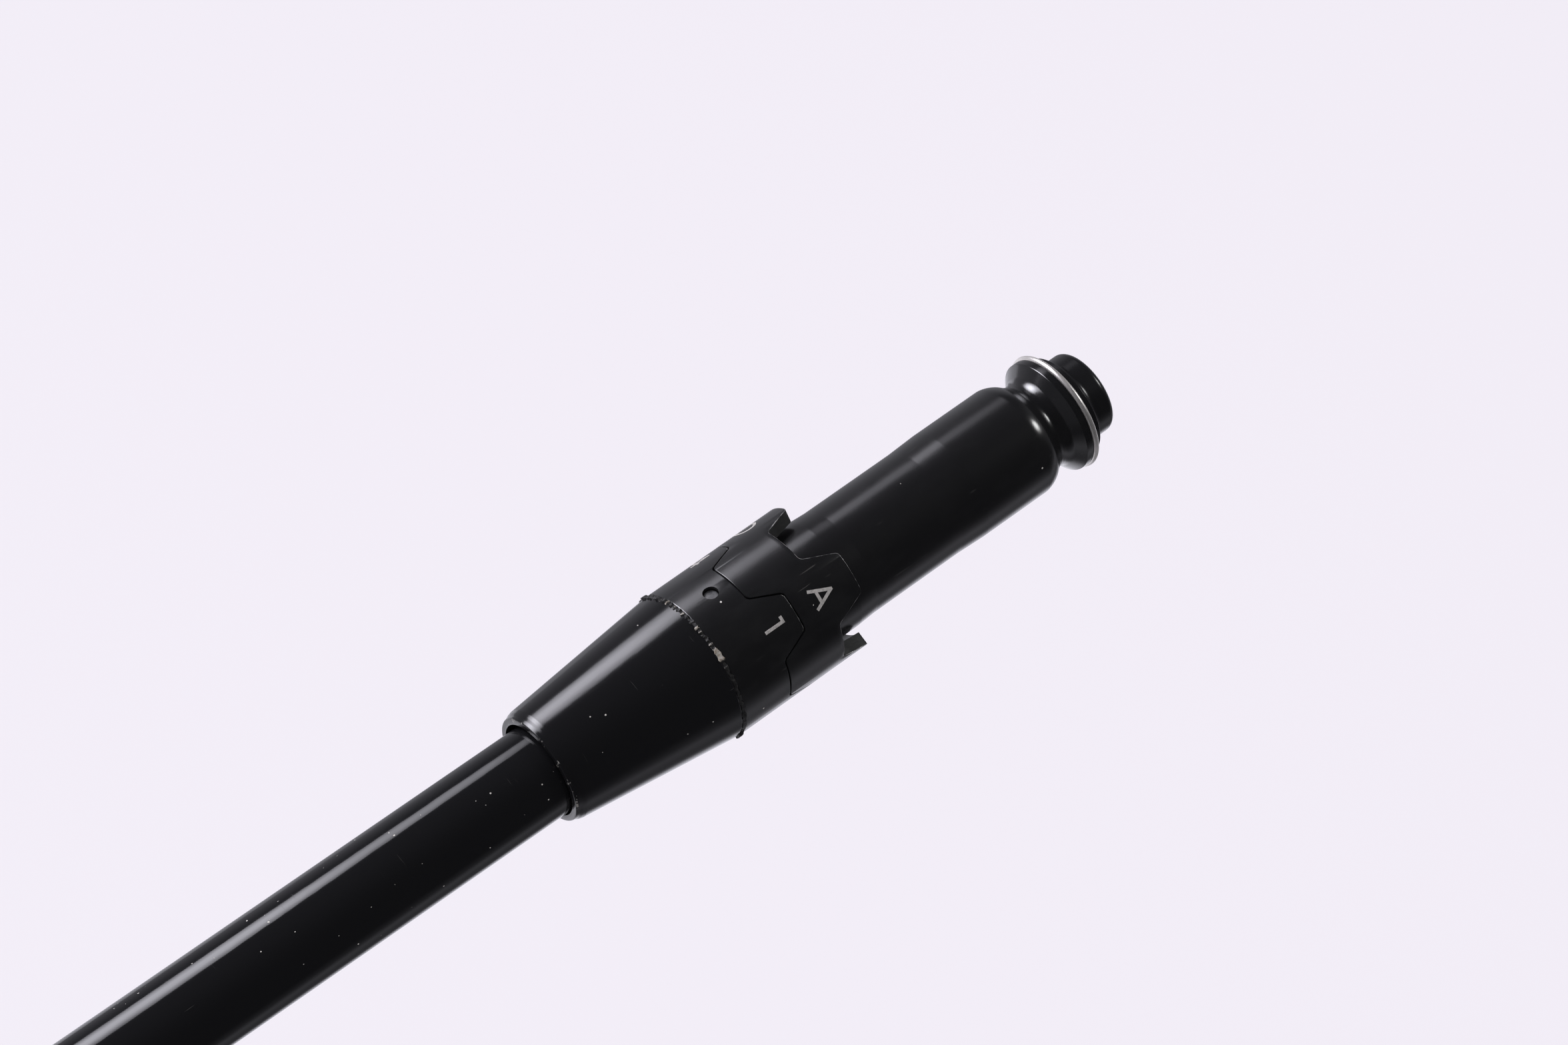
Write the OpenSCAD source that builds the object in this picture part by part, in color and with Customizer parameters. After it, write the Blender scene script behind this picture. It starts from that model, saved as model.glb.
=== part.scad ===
// Adjustable adapter on the tip of a tubular shaft: a bonded ferrule, a numbered index
// collar, a lettered ring that lifts and turns to the next setting, and a screwed tip.
// The shaft axis is X. The tip points along +X, and the origin is the centre of its end face.

/* [Shaft] */
// Outside diameter of the painted shaft
shaft_d = 8.6; // [8.4:0.05:8.8]
// Bore of the shaft
shaft_bore_d = 4.8; // [4.4:0.1:4.9]
// Length of shaft that stands out of the ferrule
shaft_stub = 58.3; // [40:0.1:120]
// Thickness of the paint that is sanded off where the shaft is bonded
paint = 0.05; // [0.03:0.01:0.08]
// Angle at which the shaft is bored into the adapter, which the settings turn round
cant = 0.5; // [0:0.05:0.75]

/* [Ferrule] */
// Length of the ferrule
ferrule_len = 16.9; // [14:0.1:20]
// Diameter of its small end, behind the lip
ferrule_small_d = 11; // [10.6:0.1:11.4]
// Diameter of its large end
ferrule_large_d = 14.5; // [14.2:0.02:14.52]
// Diameter of the open mouth round the shaft
ferrule_mouth_d = 9.2; // [9.1:0.05:9.6]
// Depth of that open mouth
ferrule_mouth_depth = 2.2; // [1.6:0.1:2.6]
// Angle by which the ferrule leans on the shaft
ferrule_lean = 0.5; // [0:0.05:0.6]

/* [Index rings] */
// Outside diameter of the numbered collar and of the lettered ring
index_d = 14.56; // [14.5:0.02:14.9]
// Collar, from the ferrule to the floor of its notches
collar_body = 5.2; // [4.8:0.1:5.4]
// Height of the collar's tabs
collar_tab = 2.94; // [2.6:0.02:3]
// Lettered ring, from the collar's tabs to the floor of its own outer notches
ring_body = 3.29; // [3.1:0.01:3.4]
// Height of the lettered ring's outer tabs, which key into a head
ring_tab = 3.2; // [2.8:0.1:3.4]
// Seam between collar and ring when they are in mesh
mesh_gap = 0.14; // [0.08:0.01:0.16]
// Radius on the corners of the tabs
tab_corner = 0.5; // [0.3:0.05:0.6]
// Where the marks A and 1 stand, turned from +Y towards +Z
mark_angle = 127.3; // [0:0.1:360]
// Height of the letters and of the numbers
mark_h = 2.2; // [1.8:0.1:2.4]
// Width of the lines of the marks
mark_line = 0.3; // [0.2:0.02:0.4]

/* [Barrel] */
// Diameter of the barrel's two guiding lands
land_d = 10.95; // [10.9:0.05:11]
// Diameter of its waist
waist_d = 10.71; // [10.5:0.01:10.8]
// Diameter of its neck
neck_d = 8.63; // [8.4:0.01:8.8]
// Diameter of its end flange
flange_d = 11.2; // [11.1:0.02:11.3]
// Where the flange ends, from the ferrule seam
flange_end = 43.1; // [43:0.1:43.4]
// Bore that takes the shaft, with room for the adhesive
socket_d = 8.72; // [8.66:0.02:8.76]

/* [Tip] */
// Distance from the ferrule seam to the end of the tip
seam_to_tip = 46.5; // [46.2:0.05:46.6]
// Diameter of the end bushing
bushing_d = 8.13; // [7.9:0.01:8.3]
// Diameter of the hole for the head's screw, at the crest of its thread
screw_hole_d = 4.2; // [4:0.1:4.4]
// Outside diameter of the steel thread insert
insert_d = 5.4; // [5.3:0.1:5.6]
// Wire of the retaining ring
wire_d = 0.56; // [0.5:0.02:0.6]
// Outside diameter of the retaining ring
wire_ring_d = 11.62; // [11.6:0.02:11.8]

/* [Hidden] */
$fn = 96;

index_r = index_d / 2;
shaft_tip = 32.4;              // end of the shaft inside the barrel
socket_end = 33;               // floor of the barrel's socket
bonded_r = shaft_d / 2 - paint;
plug_r = 2.9;
plug_start = 26.4;
plug_len = 5;
ferrule_end = -0.03;           // the lean brings one side of it up to the collar
adapter_start = 0.15;          // barrel and collar start here
edge_break = 0.1;              // on the collar's edge at the seam
glue_bulge = 0.2;              // how far the seam's adhesive stands out of the collar
paint_end = -ferrule_len - paint;      // the paint ends just before the ferrule,
paint_feather = 1.4;           // and thins away over this length
lip_epoxy_h = 0.7;

land_end = 15;                 // first guiding land ends
waist_start = 17;
waist_end = 26.9;
land_start = 29.9;             // second guiding land
shoulder = 38.1;               // corner of the rounded shoulder
neck_start = 39.62;
neck_end = 40.68;
flange_start = 41.7;           // corner of the flange's back
screw_bore_r = 3.2;            // bore of the barrel's neck
screw_bore_start = 34.8;

tab_end = collar_body + collar_tab;
ring_start = collar_body + mesh_gap;
ring_floor = tab_end + ring_body;      // floor of the outer notches
ring_end = ring_floor + ring_tab;
collar_flank = [[collar_body, 25.5], [tab_end, 14.5]];      // a tab's half width in degrees
ring_flank = [[ring_floor, 27.5], [ring_end, 16.2]];
ring_bore_r = land_d / 2 + 0.06;
ring_mouth_r = 6;
ring_mouth_start = 11;
friction_at = 9.7;
friction_wire = 0.8;

wire_at = 42.7;
wire_mean_r = (wire_ring_d - wire_d) / 2;
groove_floor_r = wire_ring_d / 2 - wire_d - 0.05;
bushing_start = 43.8;          // its wide back, which covers the flange, ends here
bushing_back_r = 4.95;
insert_start = 35.4;

mark_first = mark_angle + 90;          // the same place, turned about the upright axis below
bend_towards = mark_first - 90;        // the shaft leans towards the marks D and 4
mark_inset = 0.02;
mark_depth = 0.12;
letter_at = 11.16;
letters_ahead = 1.3;           // degrees that the letters stand further round than the numbers
number_at = 5.8;
number_h = mark_h * 0.97;
pin_angle = mark_first - 46;
pin_at = 3.25;
pin_r = 0.7;
pin_top = 6.88;
pin_foot = 5.03;

// Pieces are drawn upright, with z counted from the ferrule seam towards the tip.
module on_axis() {
    translate([-seam_to_tip, 0, 0]) rotate([0, 90, 0]) children();
}

// Leans pieces about the middle of the ferrule seam.
module bent(angle) {
    rotate([0, 0, bend_towards]) rotate([0, -angle, 0]) rotate([0, 0, -bend_towards]) children();
}

function unit(v) = v / norm(v);

// The points of an arc of radius r that rounds the corner at p between the points a and b.
function arc(a, p, b, r, steps = 6) =
    let (
        u = unit(a - p), v = unit(b - p), half = acos(u * v) / 2,
        c = p + unit(u + v) * r / sin(half),
        from = p + u * r / tan(half) - c, to = p + v * r / tan(half) - c,
        start = atan2(from[1], from[0]), turn = atan2(to[1], to[0]) - start,
        sweep = turn > 180 ? turn - 360 : turn < -180 ? turn + 360 : turn
    )
    [for (i = [0:steps]) c + r * [cos(start + sweep * i / steps), sin(start + sweep * i / steps)]];

// An outline from corners [x, y, radius]; a radius of 0 keeps the corner sharp.
function rounded(pts) = [
    for (i = [0:len(pts) - 1])
        let (
            p = pts[i], before = pts[(i + len(pts) - 1) % len(pts)], after = pts[(i + 1) % len(pts)],
            xy = [p[0], p[1]]
        )
        each p[2] > 0 ? arc([before[0], before[1]], xy, [after[0], after[1]], p[2]) : [xy]
];

module turned(pts) {
    rotate_extrude() polygon(rounded(pts));
}

module tube(r_out, r_in, z0, z1) {
    difference() {
        translate([0, 0, z0]) cylinder(r = r_out, h = z1 - z0);
        translate([0, 0, z0 - 1]) cylinder(r = r_in, h = z1 - z0 + 2);
    }
}

// One side of a notch: everything on the notch's side of a flank that leans along z. The flank
// is flat and holds a radius of the ring, so mating tabs meet all through the wall.
module flank_side(angle, side, floor_z, mouth_z, flank, grow) {
    half = (flank[0][1] + flank[1][1]) / 2;
    mid = (flank[0][0] + flank[1][0]) / 2;
    lean = index_r * (flank[1][1] - flank[0][1]) * PI / 180 / (flank[1][0] - flank[0][0]);
    extra = grow * sqrt(1 + lean * lean);
    out = mouth_z > floor_z ? 1 : -1;
    at_floor = lean * (floor_z - mid) + extra;
    at_mouth = lean * (mouth_z - mid) + extra;
    wide = index_d;
    outline = rounded([
        [-wide, floor_z, 0], [at_floor, floor_z, tab_corner + mesh_gap],
        [at_mouth, mouth_z, tab_corner], [wide, mouth_z, 0],
        [wide, mouth_z + out, 0], [-wide, mouth_z + out, 0]
    ]);
    rotate([0, 0, angle + side * half]) rotate([90, 0, 90])
        linear_extrude(height = index_d)
            polygon([for (p = outline) [side * p[0], p[1]]]);
}

// A notch is what both of its sides share. flank gives its half width in degrees at two heights.
module notches(first, floor_z, mouth_z, flank, grow = 0) {
    for (i = [0:3])
        intersection() {
            flank_side(first + 90 * i, 1, floor_z, mouth_z, flank, grow);
            flank_side(first + 90 * i, -1, floor_z, mouth_z, flank, grow);
        }
}

function between_tabs(flank) = [for (f = flank) [f[0], 45 - f[1]]];

// A straight line of a mark, from a to b, in parts of the mark's height.
module line(a, b, h) {
    p = a * h;
    q = b * h;
    side = [-unit(q - p)[1], unit(q - p)[0]] * mark_line / 2;
    polygon([p + side, p - side, q - side, q + side]);
}

// A part of a round line of a mark: centre, radius and the half plane that it keeps.
module bow(c, r, h, keep) {
    translate(c * h) intersection() {
        difference() {
            circle(r = r * h + mark_line / 2);
            circle(r = r * h - mark_line / 2);
        }
        translate([keep[0], keep[1]] * h) square([2 * h, 2 * h], center = true);
    }
}

module letter(i, h) {
    if (i == 0) {
        line([-0.42, -0.5], [0.02, 0.5], h);
        line([0.42, -0.5], [-0.02, 0.5], h);
        line([-0.28, -0.18], [0.28, -0.18], h);
    } else if (i == 1) {
        line([-0.3, -0.5], [-0.3, 0.5], h);
        for (s = [[0.215, 0.215], [-0.215, 0.215]]) {
            bow([0.02, s[0]], s[1], h, [1, 0]);
            for (y = [-1, 1]) line([-0.3, s[0] + y * s[1]], [0.03, s[0] + y * s[1]], h);
        }
    } else if (i == 2) {
        difference() {
            bow([0.05, 0], 0.43, h, [0, 0]);
            translate([0.62 * h, 0]) square([h * 0.9, h * 0.52], center = true);
        }
    } else {
        line([-0.32, -0.5], [-0.32, 0.5], h);
        bow([-0.08, 0], 0.43, h, [1, 0]);
        for (y = [-0.43, 0.43]) line([-0.32, y], [-0.07, y], h);
    }
}

module number(i, h) {
    if (i == 0) {
        line([0.05, -0.5], [0.05, 0.5], h);
        line([-0.2, 0.43], [0.05, 0.43], h);
    } else if (i == 1) {
        bow([0, 0.2], 0.23, h, [0, 1]);
        line([0.23, 0.21], [0.23, 0.14], h);
        line([0.25, 0.16], [-0.24, -0.42], h);
        line([-0.3, -0.43], [0.32, -0.43], h);
    } else if (i == 2) {
        for (y = [0.215, -0.215]) {
            bow([0, y], 0.215, h, [1, 0]);
            line([-0.22, y * 2], [0.01, y * 2], h);
        }
        line([-0.12, 0], [0.01, 0], h);
    } else {
        line([0.14, -0.5], [0.14, 0.5], h);
        line([0.14, 0.46], [-0.32, -0.2], h);
        line([-0.36, -0.2], [0.34, -0.2], h);
    }
}

// The four marks of a ring, as they are cut into it and filled.
module marks(letters, z, h, r_in, r_out) {
    for (i = [0:3])
        intersection() {
            tube(r_out, r_in, z - h, z + h);
            rotate([0, 0, mark_first + 90 * i + (letters ? letters_ahead : 0)])
                translate([index_r - 1, 0, z]) rotate([90, 0, 90])
                    linear_extrude(height = 2) if (letters) letter(i, h); else number(i, h);
        }
}

module mark_cuts(letters, z, h) {
    marks(letters, z, h, index_r - mark_depth, index_r + 1);
}

module mark_fills(letters, z, h) {
    marks(letters, z, h, index_r - mark_depth, index_r - mark_inset);
}

module shaft_tube() {
    stub_start = -ferrule_len - shaft_stub;
    color([0.06, 0.06, 0.07]) on_axis() bent(cant) difference() {
        turned([
            [1, stub_start, 0], [shaft_d / 2, stub_start, 0], [shaft_d / 2, paint_end, 0],
            [bonded_r, paint_end + paint_feather, 0], [bonded_r, shaft_tip, 0], [1, shaft_tip, 0]
        ]);
        translate([0, 0, stub_start - 1]) cylinder(d = shaft_bore_d, h = shaft_tip - stub_start + 2);
        translate([0, 0, plug_start]) cylinder(r = plug_r, h = shaft_tip);
    }
}

module shaft_tip_plug() {
    color([0.25, 0.24, 0.22]) on_axis() bent(cant)
        translate([0, 0, plug_start]) cylinder(r = plug_r, h = plug_len);
}

module shaft_epoxy() {
    color([0.62, 0.55, 0.42]) on_axis() bent(cant) tube(socket_d / 2, bonded_r, 0.6, shaft_tip);
}

module ferrule_body() {
    small_r = ferrule_small_d / 2;
    large_r = ferrule_large_d / 2;
    bent(cant + ferrule_lean) turned([
        [2, -ferrule_len, 0], [small_r - 0.26, -ferrule_len, 0.15],
        [small_r - 0.22, -ferrule_len + 0.55, 0.1], [small_r + 0.02, -ferrule_len + 0.95, 0.25],
        [large_r, ferrule_end - 0.17, 0], [large_r - 0.08, ferrule_end, 0], [2, ferrule_end, 0]
    ]);
}

module ferrule_mouth(z, h) {
    bent(cant + ferrule_lean) translate([0, 0, z]) cylinder(d = ferrule_mouth_d, h = h);
}

module ferrule() {
    color([0.07, 0.07, 0.08]) on_axis() difference() {
        ferrule_body();
        bent(cant) translate([0, 0, -ferrule_len - 1]) cylinder(r = bonded_r, h = ferrule_len + 2);
        ferrule_mouth(-ferrule_len - 1, ferrule_mouth_depth + 1);
    }
}

module lip_epoxy() {
    floor_z = -ferrule_len + ferrule_mouth_depth;
    color([0.55, 0.5, 0.42]) on_axis() difference() {
        ferrule_mouth(floor_z - lip_epoxy_h, lip_epoxy_h);
        bent(cant) translate([0, 0, floor_z - 2]) cylinder(r = bonded_r, h = 4);
    }
}

module seam_epoxy() {
    bulge_r = index_r + glue_bulge;
    color([0.6, 0.54, 0.42]) on_axis() difference() {
        rotate_extrude() polygon([
            [index_r - 0.5, ferrule_end - 0.17], [index_r - 0.5, adapter_start],
            [index_r - edge_break, adapter_start], [index_r, adapter_start + edge_break],
            [bulge_r, adapter_start], [bulge_r, ferrule_end - 0.03],
            [index_r + 0.02, ferrule_end - 0.35], [index_r - 0.3, ferrule_end - 0.47]
        ]);
        ferrule_body();
    }
}

module barrel() {
    land_r = land_d / 2;
    waist_r = waist_d / 2;
    flange_r = flange_d / 2;
    color([0.1, 0.1, 0.11]) on_axis() difference() {
        turned([
            [1, adapter_start, 0], [land_r, adapter_start, 0], [land_r, land_end, 0],
            [waist_r, waist_start, 0], [waist_r, waist_end, 0], [land_r, land_start, 0],
            [land_r, shoulder, 2.4], [neck_d / 2, neck_start, 1.2], [neck_d / 2, neck_end, 1],
            [flange_r - 0.02, flange_start, 0.1], [flange_r, wire_at - wire_d / 2 - 0.14, 0],
            [flange_r, wire_at - wire_d / 2 - 0.04, 0],
            [groove_floor_r, wire_at - wire_d / 2 - 0.04, 0],
            [groove_floor_r, wire_at + wire_d / 2 + 0.04, 0],
            [flange_r - 0.2, wire_at + wire_d / 2 + 0.04, 0], [flange_r - 0.35, flange_end, 0],
            [1, flange_end, 0]
        ]);
        bent(cant) cylinder(d = socket_d, h = 2 * socket_end, center = true);
        translate([0, 0, screw_bore_start]) cylinder(r = screw_bore_r, h = flange_end);
        pin_body();
    }
}

// The dowel's space, from its foot in the barrel outwards.
module pin_body(top = pin_top) {
    rotate([0, 0, pin_angle]) translate([0, 0, pin_at]) rotate([0, 90, 0])
        translate([0, 0, pin_foot]) cylinder(r = pin_r, h = top - pin_foot);
}

module index_collar() {
    color([0.09, 0.09, 0.1]) on_axis() difference() {
        turned([
            [land_d / 2, adapter_start, 0], [index_r - edge_break, adapter_start, 0],
            [index_r, adapter_start + edge_break, 0],
            [index_r, tab_end, 0], [land_d / 2, tab_end, 0]
        ]);
        notches(mark_first + 45, collar_body, tab_end, between_tabs(collar_flank));
        pin_body(index_d);
        mark_cuts(false, number_at, number_h);
    }
}

module collar_pin() {
    color([0.32, 0.31, 0.3]) on_axis() pin_body();
}

module number_marks() {
    color([0.62, 0.6, 0.58]) on_axis() mark_fills(false, number_at, number_h);
}

module letter_ring() {
    groove = friction_wire * 1.2;
    color([0.08, 0.08, 0.09]) on_axis() difference() {
        tube(index_r, ring_bore_r, ring_start, ring_end);
        translate([0, 0, ring_mouth_start]) cylinder(r = ring_mouth_r, h = ring_tab * 2);
        tube(ring_bore_r + friction_wire + 0.04, 1, friction_at - groove / 2, friction_at + groove / 2);
        notches(mark_first, tab_end + mesh_gap, ring_start, collar_flank, mesh_gap);
        notches(mark_first + 45, ring_floor, ring_end, between_tabs(ring_flank));
        mark_cuts(true, letter_at, mark_h);
    }
}

module letter_marks() {
    color([0.62, 0.6, 0.58]) on_axis() mark_fills(true, letter_at, mark_h);
}

module torus(ring_r, wire) {
    rotate_extrude() translate([ring_r, 0]) circle(d = wire, $fn = 32);
}

module friction_ring() {
    color([0.05, 0.05, 0.05]) on_axis() translate([0, 0, friction_at])
        torus(land_d / 2 + 0.03 + friction_wire / 2, friction_wire);
}

module retaining_ring() {
    color([0.75, 0.75, 0.76]) on_axis() translate([0, 0, wire_at]) torus(wire_mean_r, wire_d);
}

module end_bushing() {
    bushing_r = bushing_d / 2;
    color([0.05, 0.05, 0.06]) on_axis() difference() {
        turned([
            [1, screw_bore_start, 0], [screw_bore_r, screw_bore_start, 0], [screw_bore_r, flange_end, 0],
            [bushing_back_r, flange_end, 0], [bushing_back_r, bushing_start, 0.06],
            [bushing_r, bushing_start, 0.8], [bushing_r, seam_to_tip, 0.7], [1, seam_to_tip, 0]
        ]);
        translate([0, 0, insert_start]) cylinder(d = insert_d, h = seam_to_tip);
    }
}

module thread_insert() {
    color([0.6, 0.6, 0.58]) on_axis() difference() {
        translate([0, 0, insert_start]) cylinder(d = insert_d, h = seam_to_tip - insert_start);
        translate([0, 0, insert_start - 1]) cylinder(d = screw_hole_d, h = seam_to_tip);
    }
}

shaft_tube();
shaft_tip_plug();
shaft_epoxy();
ferrule();
lip_epoxy();
seam_epoxy();
barrel();
index_collar();
collar_pin();
number_marks();
letter_ring();
letter_marks();
friction_ring();
retaining_ring();
end_bushing();
thread_insert();
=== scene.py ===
import math

import bmesh
import bpy
from mathutils import Matrix, Vector, noise


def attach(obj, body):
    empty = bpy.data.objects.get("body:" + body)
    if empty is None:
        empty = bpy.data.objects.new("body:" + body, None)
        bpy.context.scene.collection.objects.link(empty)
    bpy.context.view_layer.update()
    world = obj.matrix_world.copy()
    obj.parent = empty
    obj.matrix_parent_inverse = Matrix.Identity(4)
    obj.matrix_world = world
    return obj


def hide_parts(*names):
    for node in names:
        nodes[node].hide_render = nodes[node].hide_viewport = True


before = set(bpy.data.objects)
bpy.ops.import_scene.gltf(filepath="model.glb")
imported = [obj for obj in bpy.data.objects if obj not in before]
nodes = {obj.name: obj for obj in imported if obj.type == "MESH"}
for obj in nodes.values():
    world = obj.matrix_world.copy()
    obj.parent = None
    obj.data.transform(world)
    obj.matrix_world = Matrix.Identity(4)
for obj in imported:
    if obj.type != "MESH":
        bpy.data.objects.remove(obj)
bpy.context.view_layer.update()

# ---- Shaft
# A tube of rolled carbon fibre, ground to size and painted gloss black. Its open end shows the
# plies. It is glued into the barrel at half a degree, which is what the settings turn round.
MM = 0.001
SEAM = -46.5                    # X in mm of the seam between ferrule and collar
CANT = 0.5                      # degrees between the shaft's axis and the barrel's
BENT_TOWARDS = math.radians(37.3)    # the side it leans to, from +Y towards +Z
AROUND = 240                    # faces round a turned piece
SHARP = math.radians(35)        # edges sharper than this show as edges
HAIR = 0.01                     # mm; nearer than this counts as touching
WELD = 1e-4                     # mm; points nearer than this are one

# Outlines are (z, r, rounding) in mm, with z from the ferrule seam towards the tip.
shaft_start = -75.2
shaft_tip = 32.4
shaft_r = 4.3
bonded_r = 4.25                 # where the paint is scraped off for gluing
shaft_bore_r = 2.4
plug_seat = 26.4
plug_bore_r = 2.9
shaft_outline = [
    (shaft_start, shaft_bore_r, 0.05), (shaft_start, shaft_r, 0.1), (-16.95, shaft_r, 0),
    (-15.55, bonded_r, 0), (shaft_tip, bonded_r, 0), (shaft_tip, plug_bore_r, 0),
    (plug_seat, plug_bore_r, 0), (plug_seat, shaft_bore_r, 0),
]
black_paint = (0.0065, 0.0065, 0.0072, 1)
dust_and_glint_grey = (0.42, 0.4, 0.37, 1)
carbon_black = (0.028, 0.028, 0.03, 1)
carbon_grey = (0.075, 0.075, 0.08, 1)


class Wire:
    """A socket in a material. Python's operators on it add the Math nodes."""

    def __init__(self, tree, socket=None):
        self.tree = tree
        self.socket = socket

    def node(self, kind, inputs, out=0, stops=None, **settings):
        """Adds a node: its settings and ramp stops first, then its sockets. Gives one output."""
        made = self.tree.nodes.new(kind)
        for name, value in settings.items():
            setattr(made, name, value)
        if stops:
            ramp = made.color_ramp
            while len(ramp.elements) > 1:
                ramp.elements.remove(ramp.elements[0])
            ramp.elements[0].position = stops[0][0]
            ramp.elements[0].color = stops[0][1]
            for place, shade in stops[1:]:
                ramp.elements.new(place).color = shade
        for name, value in inputs.items():
            if isinstance(value, Wire):
                self.tree.links.new(value.socket, made.inputs[name])
            else:
                made.inputs[name].default_value = value
        return Wire(self.tree, made.outputs[out])

    def maths(self, operation, *terms):
        """A Math node that Python has no operator for."""
        return self.node("ShaderNodeMath", dict(enumerate(terms)), operation=operation)

    def __add__(self, other):
        return self.maths("ADD", self, other)

    __radd__ = __add__

    def __mul__(self, other):
        return self.maths("MULTIPLY", self, other)

    __rmul__ = __mul__

    def __sub__(self, other):
        return self.maths("SUBTRACT", self, other)

    def __rsub__(self, other):
        return self.maths("SUBTRACT", other, self)

    def __gt__(self, other):
        return self.maths("GREATER_THAN", self, other)

    def __lt__(self, other):
        return self.maths("LESS_THAN", self, other)

    def band(self, low, high):
        """0 up to low, 1 from high on."""
        return self.node("ShaderNodeMapRange", {"Value": self, "From Min": low, "From Max": high})

    def place(self, stretch=(1, 1, 1)):
        """The piece's own coordinates in mm, stretched along its axes."""
        at = self.node("ShaderNodeTexCoord", {}, out="Object")
        return self.node("ShaderNodeMapping", {"Vector": at, "Scale": [s / MM for s in stretch]})

    def coordinate(self, axis):
        """The piece's own X, Y or Z in mm."""
        return self.node("ShaderNodeSeparateXYZ", {"Vector": self.place()}, out=axis)

    def noise(self, where, scale, detail=2.0, rough=0.5):
        return self.node(
            "ShaderNodeTexNoise",
            {"Vector": where, "Scale": scale, "Detail": detail, "Roughness": rough},
        )

    def mix(self, share, first, second):
        """The first colour where share is 0, the second where it is 1."""
        return self.node(
            "ShaderNodeMix", {"Factor": share, 6: first, 7: second}, out=2, data_type="RGBA",
        )

    def bumps(self, height, depth_mm):
        """A normal from heights, where a height of 1 stands depth_mm proud."""
        return self.node("ShaderNodeBump", {"Height": height, "Distance": depth_mm * MM})


def new_material(name, **constants):
    """A material, its Principled shader and a Wire to start expressions from."""
    made = bpy.data.materials.new(name)
    made.use_nodes = True
    shader = made.node_tree.nodes["Principled BSDF"]
    for socket, value in constants.items():
        shader.inputs[socket.replace("_", " ")].default_value = value
    return made, shader, Wire(made.node_tree)


def feed(shader, wire, **sockets):
    """Links what changes over the surface to the shader's sockets."""
    for name, value in sockets.items():
        wire.tree.links.new(value.socket, shader.inputs[name.replace("_", " ")])


def specks(wire, where, per_mm, size, share):
    """Small scattered grains: 1 inside a grain. share is the part of the cells that has one."""
    cells = {"Vector": where, "Scale": per_mm}
    cell = wire.node("ShaderNodeTexVoronoi", cells, out="Distance")
    pick = wire.node("ShaderNodeTexVoronoi", cells, out="Color")
    chance = wire.node("ShaderNodeSeparateColor", {"Color": pick}, out=0)
    chosen = chance < share
    return (cell < chance * (size / share) + 0.02) * chosen


def scratches(wire, stretch, rarity):
    """Hairlines that run the way in which the pattern is stretched. More rarity, fewer lines."""
    return wire.noise(wire.place(stretch), 1.0, 0.0).band(rarity, rarity + 0.06)


def glossy_black(name, colour, smoothest, roughest, dust, rarity, glint_band=None):
    """Polished black with smears in its gloss, dust, hairline scratches and painted glints, which
    are pale flecks in a band.
    dust is the share of the surface's cells with a grain; the last argument gives from where to
    where, in z, the band of painted glints runs."""
    made, shader, wire = new_material(name, IOR=1.5)
    smears = wire.noise(wire.place((0.3, 1, 1)), 0.5, 3.0, 0.6)
    grains = wire.maths(
        "MAXIMUM", specks(wire, wire.place(), per_mm=0.9, size=0.07, share=dust),
        specks(wire, wire.place((0.7, 1, 1)), per_mm=1.7, size=0.08, share=dust * 0.5),
    )
    if glint_band:
        # Painted glints: pale flecks in the colour along this band, standing for light caught on an
        # edge.
        along = wire.coordinate("X")
        inside = (along > SEAM + glint_band[0]) * (along < SEAM + glint_band[1])
        edge_glints = wire.noise(wire.place(), 0.9, 3.0, 0.7).band(0.57, 0.63) * inside
        grains = wire.maths("MAXIMUM", grains, edge_glints * 0.45)
    lines = wire.maths(
        "MAXIMUM", scratches(wire, (0.3, 5, 5), rarity), scratches(wire, (9, 0.35, 0.35), rarity),
    )
    base = wire.mix(wire.maths("MAXIMUM", grains, lines * 0.04), colour, dust_and_glint_grey)
    rough = smears * (roughest - smoothest) + smoothest + grains * 0.6 + lines * 0.15
    feed(
        shader, wire, Base_Color=base, Roughness=rough,
        Normal=wire.bumps(smears * 3 + grains * 2 - lines, 0.004),
    )
    return made


def round_off(bm, geom, offset, segments, affect="EDGES", material=-1, clamp_overlap=False):
    """Rounds those edges or corners. The material is that of the new faces."""
    bmesh.ops.bevel(
        bm, geom=geom, offset=offset, offset_type="OFFSET", segments=segments, profile=0.5,
        affect=affect, material=material, clamp_overlap=clamp_overlap,
    )


def rounding_offset(before, corner, after, radius):
    """How far from the corner a rounding of that radius starts."""
    half = (before - corner).angle(after - corner) / 2
    return radius / math.tan(half)


def draw_outline(bm, corners, closed):
    """Draws an outline as a wire, with its corners rounded."""
    points = [Vector((SEAM + z, 0, r)) for z, r, _ in corners]
    verts = [bm.verts.new(p) for p in points]
    for a, b in zip(verts, verts[1:] + verts[:1] if closed else verts[1:]):
        bm.edges.new((a, b))
    count = len(points)
    for i, (_, _, rounding) in enumerate(corners):
        if rounding:
            offset = rounding_offset(points[i - 1], points[i], points[(i + 1) % count], rounding)
            round_off(bm, [verts[i]], offset, segments=8, affect="VERTICES")


def turn_round(bm, corners, closed=True, steps=AROUND):
    """A turned form: the outline, spun round the axis."""
    draw_outline(bm, corners, closed)
    bmesh.ops.spin(
        bm, geom=bm.verts[:] + bm.edges[:], cent=(0, 0, 0), axis=(1, 0, 0),
        angle=math.tau, steps=steps, use_merge=True,
    )
    # A small rounding's points stand close together, so this welds finer.
    bmesh.ops.remove_doubles(bm, verts=bm.verts, dist=0.1 * WELD)


def lean(bm, verts, degrees):
    """Leans those points about the middle of the ferrule seam."""
    hinge = (0, math.sin(BENT_TOWARDS), -math.cos(BENT_TOWARDS))
    bmesh.ops.rotate(
        bm, verts=verts, cent=(SEAM, 0, 0), matrix=Matrix.Rotation(math.radians(degrees), 3, hinge),
    )


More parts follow.
